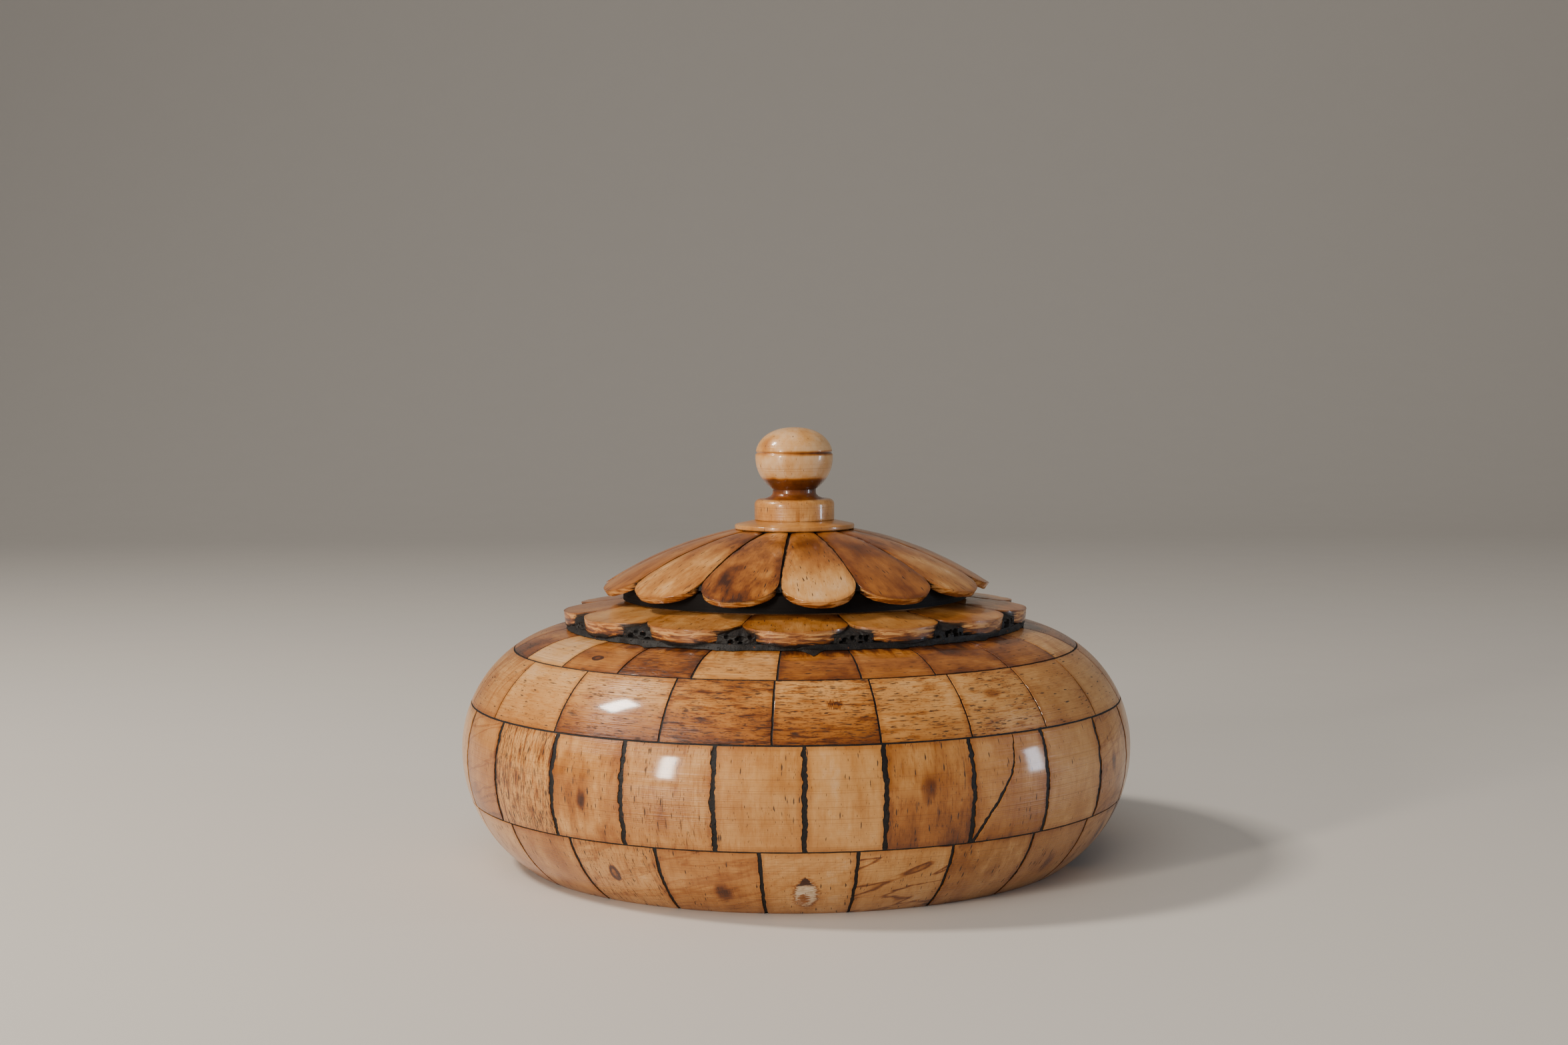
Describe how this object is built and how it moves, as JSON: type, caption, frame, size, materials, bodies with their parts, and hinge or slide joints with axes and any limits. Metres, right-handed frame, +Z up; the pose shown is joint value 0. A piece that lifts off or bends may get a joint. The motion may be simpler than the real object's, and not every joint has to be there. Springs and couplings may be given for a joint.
{
  "type": "keepsake box",
  "caption": "Squat round keepsake box covered with polished bone tiles in dark mastic, with a petalled lift-off lid and a turned finial knob.",
  "frame": {"origin": "centre of the flat base, on the surface that the box stands on", "axes": "+Z up along the box's turning axis; -Y is the front, the side with the hand-cut uneven tiles"},
  "size_m": [0.12, 0.12, 0.0767],
  "materials": {
    "tile_bone": "polished bone, stained cream to amber, under gloss lacquer",
    "petal_bone": "polished bone with brown edges, under gloss lacquer",
    "finial_bone": "turned and polished bone",
    "mastic": "black, porous, half gloss",
    "core_wood": "turned, thinly waxed",
    "dowel_wood": "plain"
  },
  "bodies": {
    "box": {"core_bowl": "core_wood", "core_shoulder": "core_wood", "foot_course_tiles": "tile_bone", "belt_course_tiles": "tile_bone", "upper_course_tiles": "tile_bone", "shoulder_course_tiles": "tile_bone", "foot_course_filler": "mastic", "belt_course_filler": "mastic", "upper_course_filler": "mastic", "shoulder_course_filler": "mastic", "seam_filler_rings": "mastic", "collar_mastic": "mastic", "collar_petal_01": "petal_bone", "collar_petal_02": "petal_bone", "collar_petal_03": "petal_bone", "collar_petal_04": "petal_bone", "collar_petal_05": "petal_bone", "collar_petal_06": "petal_bone", "collar_petal_07": "petal_bone", "collar_petal_08": "petal_bone", "collar_petal_09": "petal_bone", "collar_petal_10": "petal_bone", "collar_petal_11": "petal_bone", "collar_petal_12": "petal_bone", "collar_petal_13": "petal_bone"},
    "lid": {"lid_core": "core_wood", "lid_petal_01": "petal_bone", "lid_petal_02": "petal_bone", "lid_petal_03": "petal_bone", "lid_petal_04": "petal_bone", "lid_petal_05": "petal_bone", "lid_petal_06": "petal_bone", "lid_petal_07": "petal_bone", "lid_petal_08": "petal_bone", "lid_petal_09": "petal_bone", "lid_petal_10": "petal_bone", "lid_petal_11": "petal_bone", "lid_petal_12": "petal_bone", "lid_petal_13": "petal_bone", "lid_petal_filler": "mastic", "finial_disc": "finial_bone", "finial_base": "finial_bone", "finial_ball": "finial_bone", "finial_dowel": "dowel_wood"}
  },
  "joints": [
    {"name": "lid_lift", "type": "slide", "parent": "box", "child": "lid", "axis": [0, 0, 1], "range_m": [0, 0.1]}
  ]
}
